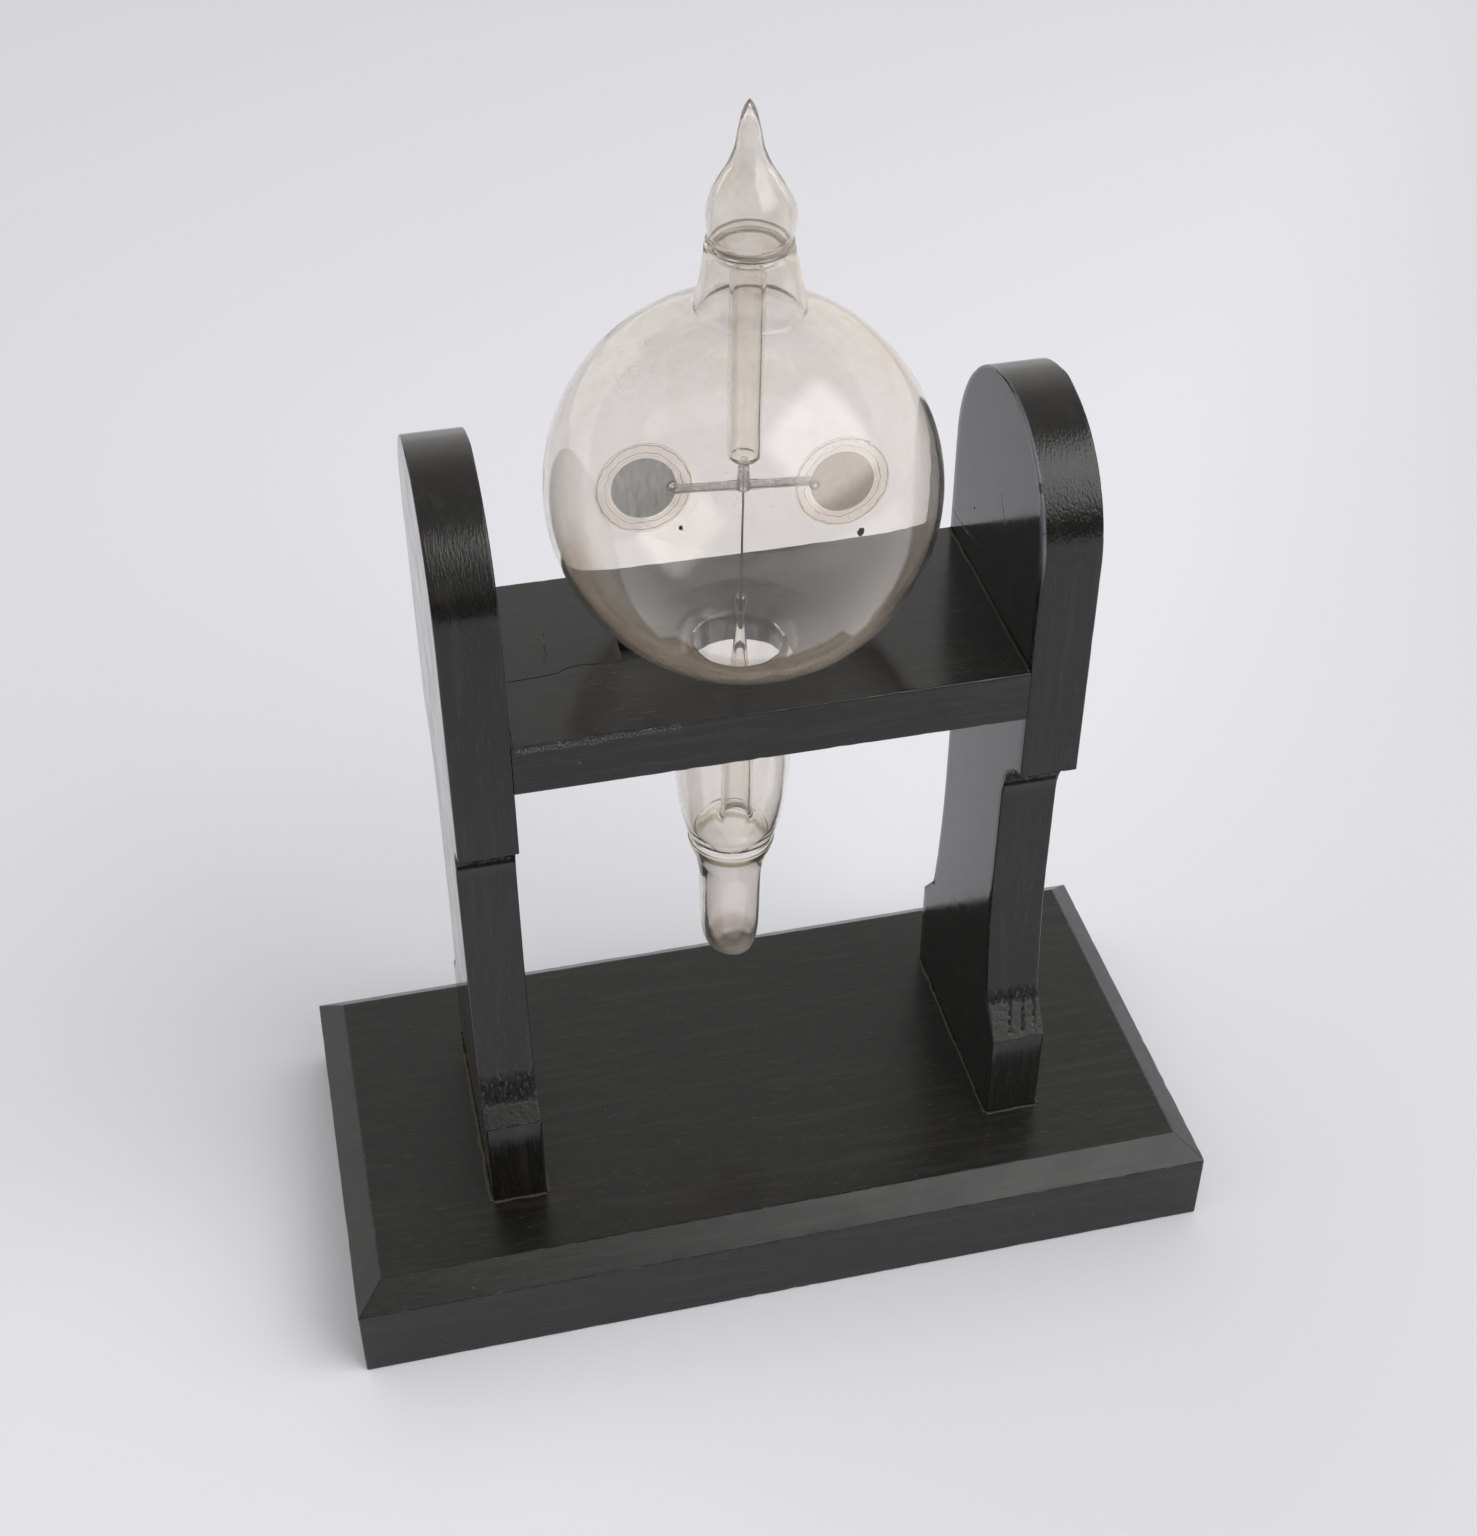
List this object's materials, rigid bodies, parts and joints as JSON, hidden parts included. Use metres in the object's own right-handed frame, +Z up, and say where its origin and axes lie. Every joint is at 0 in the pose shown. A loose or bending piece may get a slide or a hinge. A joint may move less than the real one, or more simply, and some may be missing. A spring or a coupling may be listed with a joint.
{
  "type": "crookes radiometer",
  "caption": "Light mill with mica vanes on a needle in a sealed glass bulb that rests in the shelf of a black wooden stand.",
  "frame": {"origin": "middle of the base's underside", "axes": "+Z up; +X along the base's length, to the right seen from the front; -Y to the front"},
  "size_m": [0.2032, 0.1008, 0.2749],
  "materials": {
    "ebonised_wood": "black polish, semi-gloss, worn at the edges",
    "screw_steel": "dull iron",
    "clear_glass": "clear with a faint warm tint, hazy inside",
    "mill_glass": "fine drawn glass, slightly grey",
    "needle_steel": "darkened steel",
    "clear_mica": "split mica, clear with faint colours",
    "lampblack": "coated with soot, dead matt",
    "bright_foil": "pale, satin",
    "cement": "hardened cement"
  },
  "bodies": {
    "stand": {"base": "ebonised_wood", "left_upright": "ebonised_wood", "right_upright": "ebonised_wood", "shelf": "ebonised_wood", "upright_screws": "screw_steel"},
    "bulb": {"globe": "clear_glass", "top_seal": "clear_glass", "guard_tube": "clear_glass", "bottom_stub": "clear_glass", "stem": "clear_glass", "needle_bead": "clear_glass", "needle": "needle_steel"},
    "rotor": {"pivot_cap": "mill_glass", "left_socket": "mill_glass", "left_arm": "mill_glass", "left_black_disc": "lampblack", "left_mica_disc": "clear_mica", "left_bright_disc": "bright_foil", "left_cement": "cement", "right_socket": "mill_glass", "right_arm": "mill_glass", "right_black_disc": "lampblack", "right_mica_disc": "clear_mica", "right_bright_disc": "bright_foil", "right_cement": "cement"}
  },
  "joints": [
    {"name": "bulb_lift", "type": "slide", "parent": "stand", "child": "bulb", "axis": [0.0175, 0, 0.9998], "range_m": [0, 0.1]},
    {"name": "rotor_spin", "type": "hinge", "parent": "bulb", "child": "rotor", "pos_m": [-0.00099, 0, 0.19836], "axis": [0.0175, 0, 0.9998], "continuous": true}
  ]
}
